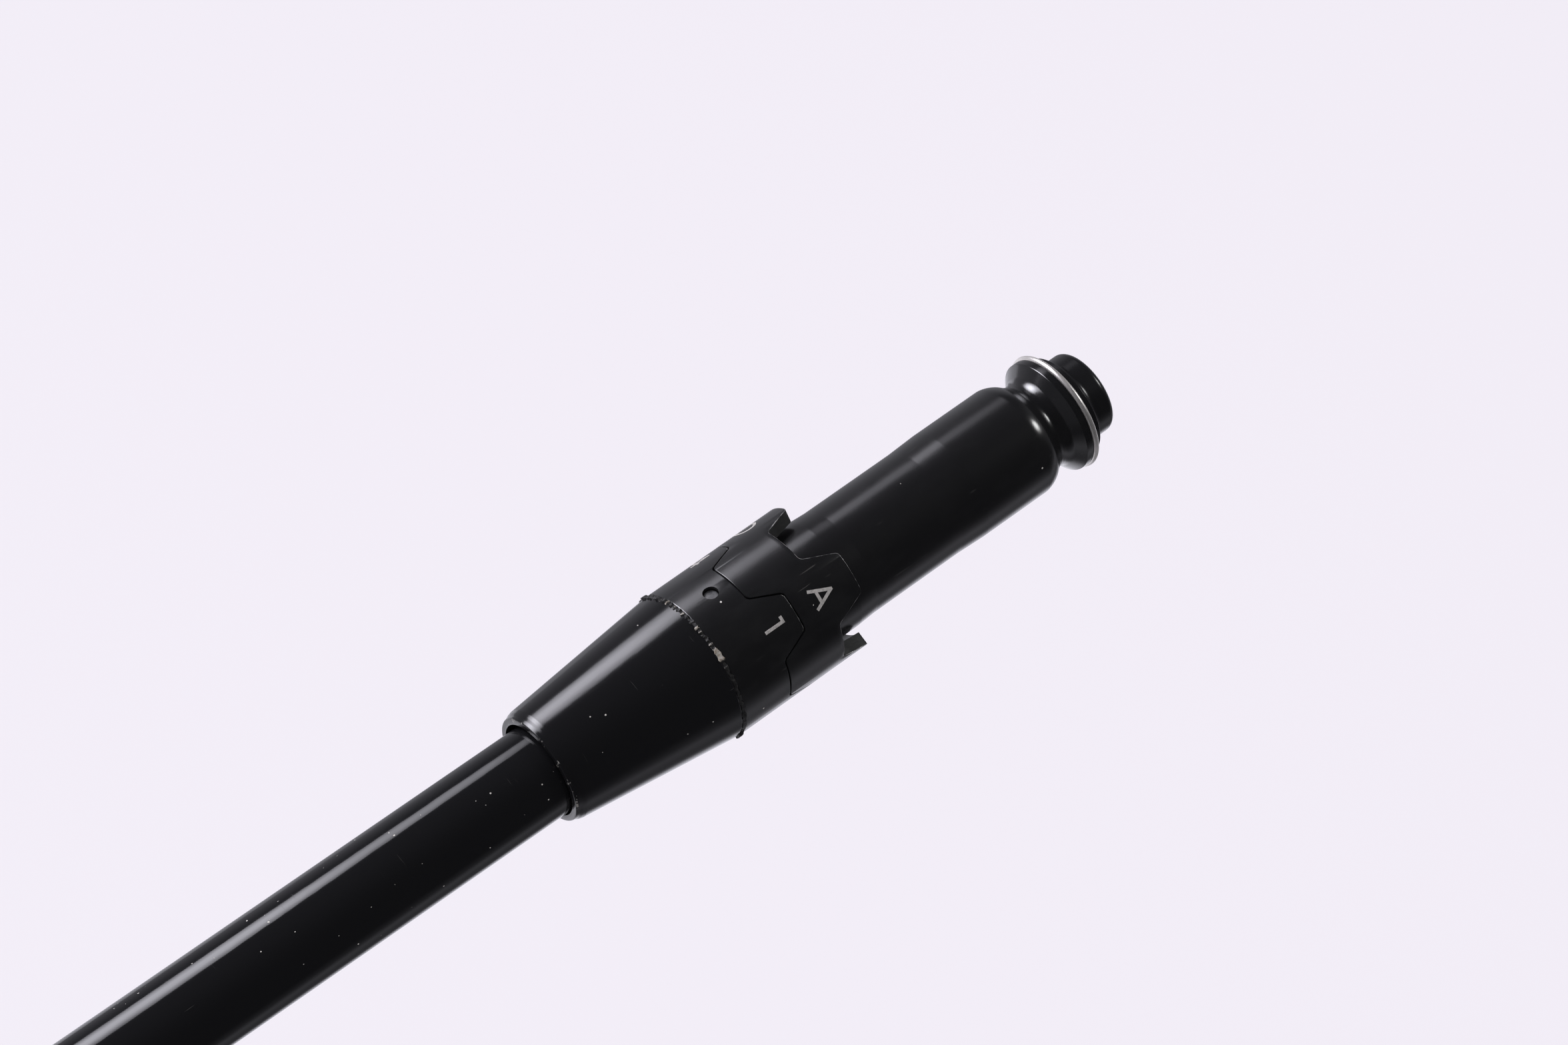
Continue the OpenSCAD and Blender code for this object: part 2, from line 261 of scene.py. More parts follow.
def as_object(bm, name, *materials):
    """Puts a form in the scene as it stands, with its materials."""
    mesh = bpy.data.meshes.new(name)
    bm.to_mesh(mesh)
    bm.free()
    for material in materials:
        mesh.materials.append(material)
    made = bpy.data.objects.new(name, mesh)
    bpy.context.scene.collection.objects.link(made)
    return made


def shade_smooth(mesh):
    """Smooth shading, except across sharp edges."""
    mesh.shade_smooth()
    mesh.set_sharp_from_angle(angle=SHARP)


def into_place(bm, name, body, replaced, slot, *materials):
    """The finished piece: in metres, smooth, on its body, in the place of its CAD node."""
    bmesh.ops.recalc_face_normals(bm, faces=bm.faces)
    bmesh.ops.scale(bm, vec=(MM, MM, MM), verts=bm.verts)
    piece = as_object(bm, name, *materials)
    shade_smooth(piece.data)
    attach(piece, body)
    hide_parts(replaced)
    return piece


shaft_paint = glossy_black(
    "shaft_gloss_paint", black_paint, smoothest=0.06, roughest=0.12, dust=0.42, rarity=0.86,
)

carbon_plies, shader, wire = new_material("carbon_plies", IOR=1.5)
across = wire.coordinate("Y")
up = wire.coordinate("Z")
radius = wire.maths("SQRT", across * across + up * up)
plies = wire.maths("SINE", radius * 38 + wire.noise(wire.place(), 0.8) * 3) * 0.5 + 0.5
fibres = wire.noise(wire.place(), 14.0, 3.0, 0.7)
feed(
    shader, wire, Base_Color=wire.mix(plies * fibres, carbon_black, carbon_grey),
    Roughness=fibres * 0.3 + 0.45, Normal=wire.bumps(plies * 0.5 + fibres, 0.02),
)

# Its sawn end and its bore show the bare plies.
bm = bmesh.new()
turn_round(bm, shaft_outline)
bmesh.ops.recalc_face_normals(bm, faces=bm.faces)
for face in bm.faces:
    sawn = abs(face.normal.x) > 0.9
    in_bore = face.calc_center_median().yz.length < shaft_bore_r + HAIR
    face.material_index = int(sawn or in_bore)
lean(bm, bm.verts, CANT)
into_place(bm, "shaft", "adapter", "shaft_tube", "shaft_paint", shaft_paint, carbon_plies)

# ---- Plug
# A soft rubber plug, pushed into the shaft's tip before gluing, so that the adhesive stays in
# the joint. It is moulded, with two lips that grip the bore.
plug_lip_r = 2.88
plug_body_r = 2.6
plug_end = 31.4
plug_outline = [
    (plug_seat, 0, 0), (plug_seat, 2.5, 0.2), (27.1, plug_lip_r, 0.2), (27.9, plug_body_r, 0.2),
    (28.9, plug_body_r, 0.2), (29.7, plug_lip_r, 0.2), (plug_end, plug_lip_r, 0.3),
    (plug_end, 0, 0),
]
rubber_dark = (0.035, 0.034, 0.032, 1)
rubber_bloom = (0.075, 0.072, 0.068, 1)

plug_rubber, shader, wire = new_material("plug_rubber", IOR=1.5)
bloom = wire.noise(wire.place(), 1.1, 4.0, 0.6)
feed(
    shader, wire, Base_Color=wire.mix(bloom, rubber_dark, rubber_bloom),
    Roughness=bloom * 0.2 + 0.6, Normal=wire.bumps(bloom, 0.02),
)

bm = bmesh.new()
turn_round(bm, plug_outline, closed=False)
lean(bm, bm.verts, CANT)
into_place(bm, "tip_plug", "adapter", "shaft_tip_plug", "plug", plug_rubber)

# ---- Layer of adhesive between shaft and barrel
# Two-part epoxy with grit in it, which keeps the shaft in the middle of its socket. It is
# covered on every side, so the plain solid stays and only takes the finish.
tan_epoxy = (0.42, 0.35, 0.24, 1)
brown_epoxy = (0.2, 0.15, 0.09, 1)

epoxy, shader, wire = new_material("dried_epoxy", IOR=1.5)
clouds = wire.noise(wire.place(), 1.6, 4.0, 0.6)
grit = wire.noise(wire.place(), 9.0, 2.0)
feed(
    shader, wire, Base_Color=wire.mix(clouds.band(0.35, 0.65), brown_epoxy, tan_epoxy),
    Roughness=grit * 0.3 + 0.35, Normal=wire.bumps(grit + clouds, 0.03),
)
nodes["shaft_epoxy"].data.materials[0] = epoxy

# ---- Ferrule
# A turned and polished cone of black plastic that hides the step from shaft to adapter. Its thin
# end has a low lip round an open mouth. It leans on the shaft by another half degree.
FERRULE_LEAN = CANT + 0.5       # degrees from the barrel's axis
ferrule_start = -16.9
ferrule_end = -0.03
mouth_r = 4.6
mouth_floor = -14.7
bead_root_r = 6.8               # adhesive fills the seam from here out
ferrule_outline = [
    (mouth_floor, mouth_r, 0), (ferrule_start, mouth_r, 0.04), (ferrule_start, 5.2, 0.15),
    (-16.52, 5.29, 0.08), (-16.28, 5.42, 0.1), (-15.95, 5.52, 0.3), (-0.2, 7.25, 0.05),
    (ferrule_end, 7.17, 0.03), (ferrule_end, bead_root_r, 0),
]
black_plastic = (0.0065, 0.0065, 0.0072, 1)


def open_ends(bm):
    """The edge loops at the two open ends of a turned form, thin end first."""
    rims = [e for e in bm.edges if len(e.link_faces) == 1]
    middle = sum(v.co.x for e in rims for v in e.verts) / (2 * len(rims))
    return (
        [e for e in rims if e.verts[0].co.x < middle],
        [e for e in rims if e.verts[0].co.x > middle],
    )


def rim_circle(bm, z, radius, leaning):
    """A round edge loop about the shaft's axis."""
    made = bmesh.ops.create_circle(
        bm, cap_ends=False, radius=radius, segments=AROUND,
        matrix=Matrix.Translation((SEAM + z, 0, 0)) @ Matrix.Rotation(math.pi / 2, 4, "Y"),
    )["verts"]
    lean(bm, made, leaning)
    return list({e for v in made for e in v.link_edges})


ferrule_gloss = glossy_black(
    "ferrule_polished_plastic", black_plastic, smoothest=0.1, roughest=0.17, dust=0.2, rarity=0.87,
    # Painted glints along the lip's rounded front edge.
    glint_band=(ferrule_start - 0.03, ferrule_start + 0.15),
)

bm = bmesh.new()
turn_round(bm, ferrule_outline, closed=False)
lean(bm, bm.verts, FERRULE_LEAN)
mouth_rim, seam_rim = open_ends(bm)
bore_start = rim_circle(bm, mouth_floor, bonded_r, CANT)
bore_end = rim_circle(bm, ferrule_end, bonded_r, CANT)
bmesh.ops.bridge_loops(bm, edges=mouth_rim + bore_start)
bmesh.ops.bridge_loops(bm, edges=bore_start + bore_end)
bmesh.ops.bridge_loops(bm, edges=bore_end + seam_rim)
into_place(bm, "ferrule_cone", "adapter", "ferrule", "ferrule", ferrule_gloss)

# ---- Adhesive in the ferrule's mouth
# What welled up round the shaft when the ferrule was pushed home: an uneven ring of dried epoxy,
# deep in the mouth and black with dirt, with one pale crumb near its edge.
mouth_glue_outline = [
    (mouth_floor, mouth_r - HAIR, 0), (-15.25, mouth_r - HAIR, 0.05), (-15.38, 4.43, 0.1),
    (-15.2, bonded_r + HAIR, 0), (mouth_floor, bonded_r + HAIR, 0),
]
mouth_crumb = (43, 4)           # middle and half width, in degrees from +Y towards +Z
glue_black = (0.01, 0.0095, 0.0095, 1)
glue_brown = (0.2, 0.16, 0.12, 1)
glue_pale = (0.34, 0.32, 0.29, 1)

dirty_glue, shader, wire = new_material("dirty_glue", IOR=1.5)
crumb_and_glint_paleness = wire.node("ShaderNodeAttribute", {}, out="Fac", attribute_name="crumb_and_glint_paleness")
crumbs = wire.noise(wire.place(), 4.5, 4.0, 0.65)
# Pale spots where the paleness attribute is high: crumbs, and on the seam bead also painted glints.
pale = (crumb_and_glint_paleness + (crumbs - 0.5) * 0.9).band(0.5, 0.7)
tone = wire.mix(crumbs.band(0.4, 0.6), glue_brown, glue_pale)
feed(
    shader, wire, Base_Color=wire.mix(pale, glue_black, tone),
    Roughness=pale * 0.3 + crumbs * 0.3 + 0.3, Normal=wire.bumps(crumbs, 0.12),
)


def degrees_round(vert):
    """Where a point stands round the axis, in degrees from +Y towards +Z."""
    return math.degrees(math.atan2(vert.co.z, vert.co.y))


def closeness(vert, middle, half):
    """1 at the middle of a lump, 0 well outside it."""
    away = abs((degrees_round(vert) - middle + 180) % 360 - 180) / half
    return math.exp(-away ** 4)


bm = bmesh.new()
turn_round(bm, mouth_glue_outline)
shade = bm.verts.layers.float.new("crumb_and_glint_paleness")
glue_skin = SEAM + mouth_floor - 0.1    # only the side that shows is uneven
for v in bm.verts:
    if v.co.x < glue_skin:
        crumb = closeness(v, *mouth_crumb)
        v[shade] = crumb
        v.co.x += noise.noise(v.co / 1.1 + Vector((4, 0, 0))) * 0.3 - crumb * 0.9
lean(bm, bm.verts, CANT)
into_place(bm, "mouth_glue", "adapter", "lip_epoxy", "epoxy", dirty_glue)

# ---- Barrel
# Turned aluminium, bead blasted and anodised black. Two guiding lands stand a tenth of a
# millimetre above the waist between them, and the neck opens into a bell that stops the ring.
socket_r = 4.36
socket_floor = 33.0
land_r = 5.475
waist_r = 5.355
neck_r = 4.315
neck_floor = 34.8               # the bushing is pressed in as far as this
neck_bore_r = 3.2
flange_r = 5.6
flange_end = 43.1
wire_z = 42.7
wire_r = 0.28
wire_play = 0.04                # between the wire and each side of its groove
groove_start = wire_z - wire_r - wire_play
groove_end = wire_z + wire_r + wire_play
groove_floor_r = 5.2
adapter_start = 0.15            # barrel and collar start here
barrel_outline = [
    (adapter_start, 4.8, 0), (adapter_start, land_r, 0.1), (15, land_r, 0.4), (17, waist_r, 0.6),
    (26.9, waist_r, 0.8), (29.9, land_r, 0.8), (38.1, land_r, 2.4), (39.62, neck_r, 1.2),
    (40.68, neck_r, 1), (41.7, flange_r - 0.02, 0.1), (groove_start - 0.1, flange_r, 0.04),
    (groove_start, flange_r, 0.03), (groove_start, groove_floor_r, 0.05),
    (groove_end, groove_floor_r, 0.05), (groove_end, flange_r - 0.2, 0.04),
    (flange_end, 5.25, 0.1), (flange_end, neck_bore_r, 0.05), (neck_floor, neck_bore_r, 0),
    (neck_floor, 0, 0),
]
anodised_black = (0.005, 0.005, 0.0056, 1)
anodised_rubbed = (0.011, 0.011, 0.0115, 1)
OXIDE_IOR = 1.77


def anodised(name, roughness, wear, polished_from=None):
    """Black anodising over a blasted surface, rubbed a little smoother and greyer in places.
    From polished_from on, along z, it was polished and not blasted."""
    made, shader, wire = new_material(name, IOR=OXIDE_IOR)
    blasted = wire.noise(wire.place(), 7.0, 3.0, 0.65)
    rubbed = wire.noise(wire.place((0.5, 1, 1)), 0.45, 3.0, 0.6).band(0.45, 0.75)
    grains = specks(wire, wire.place(), per_mm=0.9, size=0.09, share=0.12)
    lines = scratches(wire, (0.4, 4, 4), 0.82) * wear
    base = wire.mix(rubbed * wear, anodised_black, anodised_rubbed)
    base = wire.mix(wire.maths("MAXIMUM", grains, lines * 0.08), base, dust_and_glint_grey)
    rough = blasted * 0.06 + (roughness - 0.03) - rubbed * 0.05 + grains * 0.3
    if polished_from:
        polished = wire.coordinate("X").band(SEAM + polished_from, SEAM + polished_from + 1.5)
        rough = rough - polished * 0.06
    feed(
        shader, wire, Base_Color=base, Roughness=rough,
        Normal=wire.bumps(blasted * 0.5 + grains, 0.004),
    )
    return made


barrel_anodised = anodised(
    "barrel_black_anodising", roughness=0.23, wear=0.5, polished_from=39.5,
)

bm = bmesh.new()
turn_round(bm, barrel_outline, closed=False)
seam_rim = open_ends(bm)[0]
socket_mouth = rim_circle(bm, adapter_start, socket_r, CANT)
socket_end = rim_circle(bm, socket_floor, socket_r, CANT)
bmesh.ops.bridge_loops(bm, edges=seam_rim + socket_mouth)
bmesh.ops.bridge_loops(bm, edges=socket_mouth + socket_end)
bmesh.ops.edgenet_fill(bm, edges=socket_end)
into_place(bm, "barrel_sleeve", "adapter", "barrel", "anodised_barrel", barrel_anodised)

# ---- Numbered collar
# Turned and milled aluminium, anodised black, pressed on the barrel against the ferrule. Four
# tabs with leaning flanks point to the tip. The anodising has worn off along its edges.
FIRST_MARK = 127.3              # degrees from +Y towards +Z
index_r = 7.28
collar_floor = 5.2
collar_tab_end = 8.14
# A tab's foot and head: z, and half its width in degrees.
collar_half = ((collar_floor, 25.5), (collar_tab_end, 14.5))
tab_corner = 0.5
base_chamfer = 0.1
wear_reach = 0.2                # how far behind a tab's end or foot its edges are worn
pin_angle = math.radians(FIRST_MARK - 46)
pin_z = 3.25
pin_hole_r = 0.72
drill_reach = 3                 # how far the drill runs to each side of the surface
anodised_deep = (0.004, 0.004, 0.0045, 1)
bare_aluminium = (0.5, 0.49, 0.48, 1)
TAB_MIDDLES = (-135, -45, 45, 135)
COLUMN = 2.5                    # widest face round a ring, in degrees
PLAIN, WORN, MILLED = range(3)  # the order of the rings' materials


def zigzag(half_widths):
    """Corners (z, degrees) of a rim with four tabs or notches, once round from -180 to 180."""
    rim = []
    for middle in TAB_MIDDLES:
        (foot_z, foot), (head_z, head) = half_widths
        rim += [
            (foot_z, middle - foot), (head_z, middle - head),
            (head_z, middle + head), (foot_z, middle + foot),
        ]
    return rim


def cut_across(bm, place, normal):
    """Cuts every face that a plane passes through."""
    bmesh.ops.bisect_plane(
        bm, geom=bm.verts[:] + bm.edges[:] + bm.faces[:], dist=WELD, plane_co=place,
        plane_no=normal,
    )


def unrolled(bm, lower, upper, corner_radii):
    """A ring's outside laid flat: x along the axis, y round it, cut into narrow columns."""
    half_turn = math.pi * index_r
    rims = []
    for rim, radius in zip((lower, upper), corner_radii):
        inside = [Vector((SEAM + z, math.radians(a) * index_r, 0)) for z, a in rim]
        start, end = (Vector((inside[0].x, y, 0)) for y in (-half_turn, half_turn))
        points = [start] + inside + [end]
        verts = [bm.verts.new(p) for p in points]
        rims.append((points, verts, radius))
    chain = rims[0][1] + rims[1][1][::-1]
    for a, b in zip(chain, chain[1:] + chain[:1]):
        bm.edges.new((a, b))
    for points, verts, radius in rims:
        for i in range(1, len(points) - 1):
            if radius:
                offset = rounding_offset(points[i - 1], points[i], points[i + 1], radius)
                round_off(bm, [verts[i]], offset, segments=5, affect="VERTICES")
    bmesh.ops.contextual_create(bm, geom=bm.edges[:])
    cuts = sorted({round(v.co.y, 4) for v in bm.verts})
    widest = math.radians(COLUMN) * index_r
    for a, b in zip(cuts[:-1], cuts[1:]):
        count = max(1, math.ceil((b - a) / widest))
        for k in range(count):
            cut_across(bm, (0, a + (b - a) * k / count, 0), (0, 1, 0))


def rolled_up(bm, first_tab):
    """Rolls the flat strip into a ring, with its tabs where they belong, and closes the joint."""
    for v in bm.verts:
        angle = v.co.y / index_r + math.radians(first_tab - TAB_MIDDLES[2])
        v.co = (v.co.x, index_r * math.cos(angle), index_r * math.sin(angle))
    bmesh.ops.remove_doubles(bm, verts=bm.verts, dist=WELD)


def push_wall(bm, faces, radius, keep):
    """Extrudes faces of a ring straight in or out to another radius."""
    made = bmesh.ops.extrude_face_region(bm, geom=faces, use_keep_orig=keep)["geom"]
    for v in (g for g in made if isinstance(g, bmesh.types.BMVert)):
        v.co.yz = v.co.yz.normalized() * radius


def radial(vert):
    """How far a point is from the axis."""
    return vert.co.yz.length


def broken_edges(bm, radius, width, worn_from):
    """Breaks the sharp edges at a radius. Those past worn_from along z get the worn finish, and
    the walls between the tabs get the matt one that the cutter leaves."""
    bm.normal_update()
    edges = [
        e for e in bm.edges
        if len(e.link_faces) == 2 and e.calc_face_angle() > math.radians(40)
        and all(abs(radial(v) - radius) < 2 * HAIR for v in e.verts)
    ]
    round_off(bm, edges, width, segments=2, material=WORN, clamp_overlap=True)
    bm.normal_update()
    for face in bm.faces:
        middle = face.calc_center_median()
        if face.material_index == WORN and middle.x < SEAM + worn_from:
            face.material_index = PLAIN
        outwards = Vector((0, middle.y, middle.z)).normalized()
        if face.material_index == PLAIN and abs(face.normal.dot(outwards)) < 0.3:
            face.material_index = MILLED


def weighted(piece):
    """Lets the broad faces set the shading, so the narrow edge faces don't smear it."""
    piece.modifiers.new("true_normals", "WEIGHTED_NORMAL").keep_sharp = True


ring_anodised = anodised("rings_black_anodising", roughness=0.24, wear=0.8)

worn_edge, shader, wire = new_material("rings_worn_edge", IOR=OXIDE_IOR)
patches = wire.noise(wire.place(), 1.3, 4.0, 0.65)
rub = patches.band(0.48, 0.7)
feed(
    shader, wire, Base_Color=wire.mix(rub, anodised_rubbed, bare_aluminium),
    Metallic=rub * 0.8, Roughness=patches * 0.2 + 0.25, Normal=wire.bumps(patches, 0.01),
)

milled_wall, shader, wire = new_material("rings_milled_wall", IOR=1.5)
cutter_lines = wire.noise(wire.place((0.6, 6, 6)), 1.0, 2.0)
feed(
    shader, wire, Base_Color=wire.mix(cutter_lines, anodised_deep, anodised_rubbed),
    Roughness=cutter_lines * 0.15 + 0.5, Normal=wire.bumps(cutter_lines, 0.01),
)

bm = bmesh.new()
unrolled(bm, [(adapter_start, 0)], zigzag(collar_half), corner_radii=(0, tab_corner))
rolled_up(bm, FIRST_MARK)
push_wall(bm, bm.faces[:], land_r, keep=True)
bmesh.ops.recalc_face_normals(bm, faces=bm.faces)
base_rim = [
    e for e in bm.edges
    if all(v.co.x < SEAM + adapter_start + HAIR and radial(v) > index_r - HAIR for v in e.verts)
]
round_off(bm, base_rim, base_chamfer, segments=1)
broken_edges(bm, index_r, width=0.045, worn_from=collar_tab_end - wear_reach)
collar = into_place(
    bm, "numbered_collar", "adapter", "index_collar", "anodised_index", ring_anodised, worn_edge,
    milled_wall,
)


def rod_at_pin(bm, rod_r, foot, top, unit=1):
    """A round rod on the dowel's axis, which foot and top measure from the barrel's axis. The
    unit is that of the form: mm, or metres for a tool that works on a finished piece."""
    bmesh.ops.create_cone(
        bm, cap_ends=True, segments=48, radius1=rod_r * unit, radius2=rod_r * unit,
        depth=(top - foot) * unit,
        matrix=Matrix.Translation(((SEAM + pin_z) * unit, 0, 0))
        @ Matrix.Rotation(pin_angle, 4, "X")
        @ Matrix.Translation((0, (top + foot) / 2 * unit, 0))
        @ Matrix.Rotation(math.pi / 2, 4, "X"),
    )


# The hole for the dowel is drilled through the wall after that.
bm = bmesh.new()
rod_at_pin(bm, pin_hole_r, index_r - drill_reach, index_r + drill_reach, unit=MM)
drill = as_object(bm, "drill")
drilled = collar.modifiers.new("pin_hole", "BOOLEAN")
drilled.object = drill
drilled.solver = "EXACT"
bpy.context.view_layer.update()
seen = collar.evaluated_get(bpy.context.evaluated_depsgraph_get())
collar_mesh = bpy.data.meshes.new_from_object(seen)
collar.modifiers.clear()
collar.data = collar_mesh
bpy.data.objects.remove(drill)
shade_smooth(collar_mesh)
weighted(collar)

# ---- Dowel
# A short steel pin, driven through the collar into the barrel so that the collar can't turn. Its
# dished end sits below the surface and was stained with the anodising.
pin_r = 0.69
pin_foot = 5.03
pin_top = 6.88
pin_rounding = 0.12
pin_dark = (0.03, 0.03, 0.033, 1)
pin_grey = (0.1, 0.1, 0.105, 1)

pin_finish, shader, wire = new_material("stained_pin", IOR=1.5)
stain = wire.noise(wire.place(), 2.6, 4.0, 0.6)
feed(
    shader, wire, Roughness=stain * 0.3 + 0.3, Normal=wire.bumps(stain, 0.03),
    Base_Color=wire.mix(stain.band(0.35, 0.65), pin_dark, pin_grey),
)

bm = bmesh.new()
rod_at_pin(bm, pin_r, pin_foot, pin_top)
end_edges = [e for e in bm.edges if e.calc_face_angle() > 1]
round_off(bm, end_edges, pin_rounding, segments=4)
outer_end = max(bm.faces, key=lambda f: f.calc_center_median().yz.length)
for depth in (0.06, 0.04):
    bmesh.ops.inset_region(bm, faces=[outer_end], thickness=0.17, depth=-depth)
into_place(bm, "dowel", "adapter", "collar_pin", "pin_steel", pin_finish)

# ---- Numbers
# Pale paint, pressed into shallow cuts and wiped level. One number stands on each tab.
mark_pale = (0.36, 0.34, 0.325, 1)
mark_thin = (0.2, 0.19, 0.18, 1)
FLUSH = 1.0031                  # brings the fills up to the rings' surface

mark_paint, shader, wire = new_material("mark_paint", IOR=1.45)
mottle = wire.noise(wire.place(), 5.0, 4.0, 0.7)
feed(
    shader, wire, Base_Color=wire.mix(mottle.band(0.3, 0.55), mark_thin, mark_pale),
    Roughness=mottle * 0.3 + 0.5, Normal=wire.bumps(mottle, 0.01),
)


def fill_marks(name, node, body):
    """The paint of one ring's marks, level with the ring."""
    bm = bmesh.new()
    bm.from_mesh(nodes[node].data)
    bmesh.ops.remove_doubles(bm, verts=bm.verts, dist=WELD * MM)
    bmesh.ops.scale(bm, vec=(1 / MM, FLUSH / MM, FLUSH / MM), verts=bm.verts)
    into_place(bm, name, body, node, "mark_paint", mark_paint)


fill_marks("numbers", "number_marks", "adapter")

# ---- Lettered ring
# The same make as the collar. Its notches hold the collar's tabs, its own four tabs key into a
# head, and a groove in its bore holds the friction ring. It lifts and turns.
GAP = 0.14                      # between the collar's tabs and the notches
ring_floor = 11.43
ring_end = 14.63
ring_half = ((ring_floor, 27.5), (ring_end, 16.2))
ring_bore_r = 5.535
ring_mouth_r = 6.0
ring_mouth_start = 11.0
groove_r = 6.375
groove_span = (9.22, 10.18)


def widened(half_widths, gap):
    """The same tabs' outline, moved out by gap: the notch that holds them."""
    (foot_z, foot), (head_z, head) = half_widths
    rise = head_z - foot_z
    run = math.radians(foot - head) * index_r
    grow = math.degrees(gap * math.hypot(1, run / rise) / index_r)
    per_mm = (head - foot) / rise
    return ((foot_z + gap, foot + per_mm * gap + grow), (head_z + gap, head + per_mm * gap + grow))


bm = bmesh.new()
unrolled(
    bm, zigzag(widened(collar_half, GAP)), zigzag(ring_half), corner_radii=(tab_corner, tab_corner),
)
rolled_up(bm, FIRST_MARK)
push_wall(bm, bm.faces[:], ring_mouth_r, keep=True)
for z in (*groove_span, ring_mouth_start):
    cut_across(bm, (SEAM + z, 0, 0), (1, 0, 0))
bore = [
    f for f in bm.faces
    if all(radial(v) < ring_mouth_r + HAIR for v in f.verts)
    and f.calc_center_median().x < SEAM + ring_mouth_start
]
push_wall(bm, bore, ring_bore_r, keep=False)
groove = [
    f for f in bm.faces
    if all(radial(v) < ring_bore_r + HAIR for v in f.verts)
    and groove_span[0] < f.calc_center_median().x - SEAM < groove_span[1]
]
push_wall(bm, groove, groove_r, keep=False)
bmesh.ops.recalc_face_normals(bm, faces=bm.faces)
broken_edges(bm, index_r, width=0.05, worn_from=ring_floor - wear_reach)
lettered = into_place(
    bm, "lettered_ring_body", "lettered_ring", "letter_ring", "anodised_index", ring_anodised,
    worn_edge, milled_wall,
)
weighted(lettered)

# ---- Letters
# The same paint as the numbers.
fill_marks("letters", "letter_marks", "lettered_ring")

# ---- Friction ring
# An O-ring of black rubber in the lettered ring's groove. It rubs on the barrel and holds the ring
# wherever it is slid. It is inside at every position, so its solid stays.
o_ring_black = (0.012, 0.012, 0.012, 1)
o_ring_talc = (0.035, 0.035, 0.034, 1)

o_ring_rubber, shader, wire = new_material("o_ring_rubber", IOR=1.5)
talc = wire.noise(wire.place(), 3.0, 3.0, 0.6)
feed(
    shader, wire, Base_Color=wire.mix(talc, o_ring_black, o_ring_talc),
    Roughness=talc * 0.2 + 0.5, Normal=wire.bumps(talc, 0.01),
)
nodes["friction_ring"].data.materials[0] = o_ring_rubber

# ---- Adhesive squeezed out at the ferrule seam
# Epoxy that ran out between ferrule and collar and dried there. Most of it is a thin black line,
# with black lumps on it and one tan chip where it was never wiped off. Its pale spots are partly
# pale crumbs and partly painted glints, where light catches the lumps.
seam_bead_outline = [
    (-0.14, bead_root_r, 0), (-0.17, 7.2, 0.03), (-0.05, 7.26, 0.04), (0.17, 7.26, 0.04),
    (0.24, 7.2, 0.02), (adapter_start, 7.14, 0), (adapter_start, bead_root_r, 0),
]
# Where lumps stand: degrees from +Y towards +Z, half width in degrees, height in mm, paleness: pale
# crumbs, and painted glints between about 55 and 85 degrees.
lumps = [
    (24, 2.5, 0.12, 0.1), (33, 5, 0.25, 0), (42, 1.6, 0.15, 0.1), (46, 1.5, 0.17, 0.1),
    (50, 1.3, 0.14, 0.2), (54, 1.6, 0.17, 0.05), (58, 1.2, 0.15, 0.5), (62, 1.5, 0.17, 0.15),
    (66, 1.1, 0.17, 0.7), (70, 1.4, 0.15, 0.2), (74, 1.2, 0.12, 0.55), (78, 1.4, 0.12, 0.2),
    (82.5, 1.2, 0.12, 0.6), (87, 1.3, 0.1, 0.2), (92, 1, 0.12, 0.3), (97.8, 1.1, 0.2, 1),
    (101.5, 0.8, 0.1, 0.6), (105, 1.4, 0.1, 0.1), (109, 1, 0.09, 0.3), (112.5, 0.9, 0.08, 0.6),
    (131.5, 1.4, 0.05, 0.5), (138, 1, 0.03, 0.15), (150, 3, 0.05, 0.05), (176, 3, 0.05, 0.05),
    (203, 4.5, 0.25, 0), (209, 1.3, 0.2, 0.4), (236, 3, 0.12, 0.3), (262, 3, 0.22, 0.5),
    (291, 6, 0.12, 0.2), (325, 4, 0.2, 0.6), (352, 4, 0.12, 0.2),
]
tan_chip = (121.3, 6.4, 0.1, 0.85)
bead_skin_r = 7                 # only what is outside this is lumpy
bead_limit = 7.47               # the adhesive was wiped down to here

bm = bmesh.new()
turn_round(bm, seam_bead_outline, steps=3 * AROUND)
# This paleness marks pale crumbs, the tan chip and, between about 55 and 85 degrees, painted
# glints.
shade = bm.verts.layers.float.new("crumb_and_glint_paleness")
for v in bm.verts:
    near = [
        (closeness(v, middle, half), rise, pale) for middle, half, rise, pale in lumps + [tan_chip]
    ]
    height = sum(share * rise for share, rise, _ in near)
    v[shade] = max(share * pale for share, _, pale in near)
    r = radial(v)
    if r > bead_skin_r:
        in_chip = near[-1][0]
        bumpy = noise.noise(v.co * 2.2) * 0.5 + noise.noise(v.co * 5) * 0.5
        v.co.x += noise.noise(v.co * 3.1 + Vector((9, 0, 0))) * 0.14 - height * 0.6
        v.co.x += in_chip * (0.08 + (v.co.x - SEAM) * 0.2)
        v.co.yz *= min(bead_limit, r + height * (1 + bumpy) + bumpy * 0.14) / r
into_place(bm, "seam_bead", "adapter", "seam_epoxy", "epoxy", dirty_glue)

# ---- Retaining ring
# Round spring wire of bright stainless steel, snapped into the groove of the bell so that the
# lettered ring can't slide off. It sits loose and can turn.
wire_mean_r = 5.53
steel_dull = (0.62, 0.59, 0.56, 1)
steel_bright = (0.8, 0.78, 0.76, 1)

spring_wire, shader, wire = new_material("spring_wire", Metallic=0.85)
draw_lines = wire.noise(wire.place((4, 1, 1)), 2.0, 3.0, 0.6)
feed(
    shader, wire, Base_Color=wire.mix(draw_lines, steel_dull, steel_bright),
    Roughness=draw_lines * 0.1 + 0.32, Normal=wire.bumps(draw_lines, 0.002),
)

